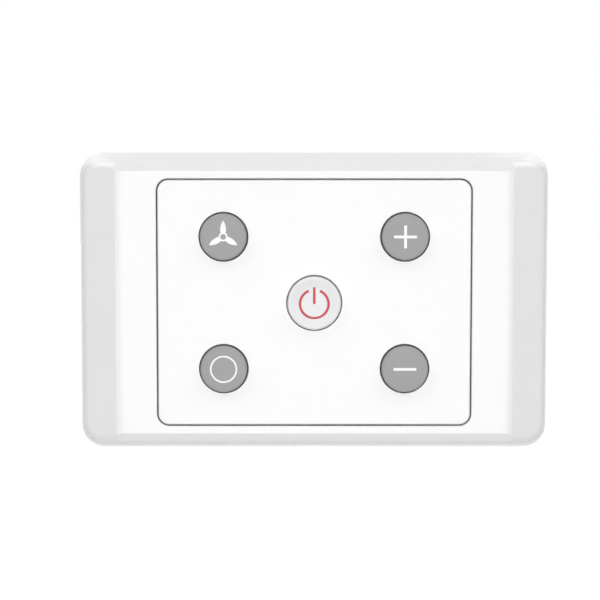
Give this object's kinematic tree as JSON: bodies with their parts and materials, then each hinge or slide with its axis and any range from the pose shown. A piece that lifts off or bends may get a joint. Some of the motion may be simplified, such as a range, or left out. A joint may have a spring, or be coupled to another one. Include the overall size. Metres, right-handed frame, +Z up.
{
  "type": "fan speed control switch",
  "caption": "Wall plate fan speed control with a raised centre panel and round push buttons for fan, light, speed and power.",
  "frame": {"origin": "centre of the plate on the wall plane, midway between the two fixing slots", "axes": "+X to the user's right, +Y into the wall, +Z up; the buttons face -Y"},
  "size_m": [0.117, 0.0345, 0.074],
  "materials": {
    "cover_white": "smooth moulded, soft gloss",
    "panel_white": "smooth moulded, soft gloss",
    "housing_plastic": "fine spark-eroded texture",
    "board_laminate": "solder mask over glass laminate",
    "cap_grey": "satin moulded",
    "cap_white": "satin moulded, slightly translucent",
    "legend_white": "printed ink",
    "legend_red": "printed ink",
    "plunger_plastic": "moulded",
    "switch_case": "moulded with a steel top",
    "screw_steel": "zinc plated",
    "terminal_plastic": "moulded",
    "clamp_brass": "machined",
    "lamp_clear": "diffused lens",
    "relay_case": "moulded",
    "film_capacitor_case": "moulded",
    "capacitor_sleeve": "shrunk sleeve",
    "chip_case": "moulded",
    "fuse_case": "moulded",
    "suppressor_coating": "dipped coating"
  },
  "bodies": {
    "base": {"cover_plate": "cover_white", "grid_plate": "panel_white", "rear_housing": "housing_plastic", "circuit_board": "board_laminate", "fan_switch": "switch_case", "plus_switch": "switch_case", "light_switch": "switch_case", "minus_switch": "switch_case", "power_switch": "switch_case", "housing_screw_1": "screw_steel", "housing_screw_2": "screw_steel", "terminal_block": "terminal_plastic", "wire_clamp_1": "clamp_brass", "clamp_screw_1": "screw_steel", "wire_clamp_2": "clamp_brass", "clamp_screw_2": "screw_steel", "wire_clamp_3": "clamp_brass", "clamp_screw_3": "screw_steel", "wire_clamp_4": "clamp_brass", "clamp_screw_4": "screw_steel", "indicator_lamp": "lamp_clear", "fan_relay": "relay_case", "light_relay": "relay_case", "speed_capacitor_1": "film_capacitor_case", "speed_capacitor_2": "film_capacitor_case", "smoothing_capacitor": "capacitor_sleeve", "rectifier": "chip_case", "controller_chip": "chip_case", "fuse": "fuse_case", "surge_suppressor": "suppressor_coating"},
    "fan_button": {"fan_cap": "cap_grey", "fan_plunger": "plunger_plastic"},
    "plus_button": {"plus_cap": "cap_grey", "plus_plunger": "plunger_plastic"},
    "light_button": {"light_cap": "cap_grey", "light_plunger": "plunger_plastic"},
    "minus_button": {"minus_cap": "cap_grey", "minus_plunger": "plunger_plastic"},
    "power_button": {"power_cap": "cap_white", "power_plunger": "plunger_plastic"}
  },
  "joints": [
    {"name": "fan_press", "type": "slide", "parent": "base", "child": "fan_button", "axis": [0, 1, 0], "range_m": [0, 0.0005], "stiffness_N_per_m": 4000, "springref_m": -0.0002},
    {"name": "plus_press", "type": "slide", "parent": "base", "child": "plus_button", "axis": [0, 1, 0], "range_m": [0, 0.0005], "stiffness_N_per_m": 4000, "springref_m": -0.0002},
    {"name": "light_press", "type": "slide", "parent": "base", "child": "light_button", "axis": [0, 1, 0], "range_m": [0, 0.0005], "stiffness_N_per_m": 4000, "springref_m": -0.0002},
    {"name": "minus_press", "type": "slide", "parent": "base", "child": "minus_button", "axis": [0, 1, 0], "range_m": [0, 0.0005], "stiffness_N_per_m": 4000, "springref_m": -0.0002},
    {"name": "power_press", "type": "slide", "parent": "base", "child": "power_button", "axis": [0, 1, 0], "range_m": [0, 0.0005], "stiffness_N_per_m": 4000, "springref_m": -0.0002}
  ]
}
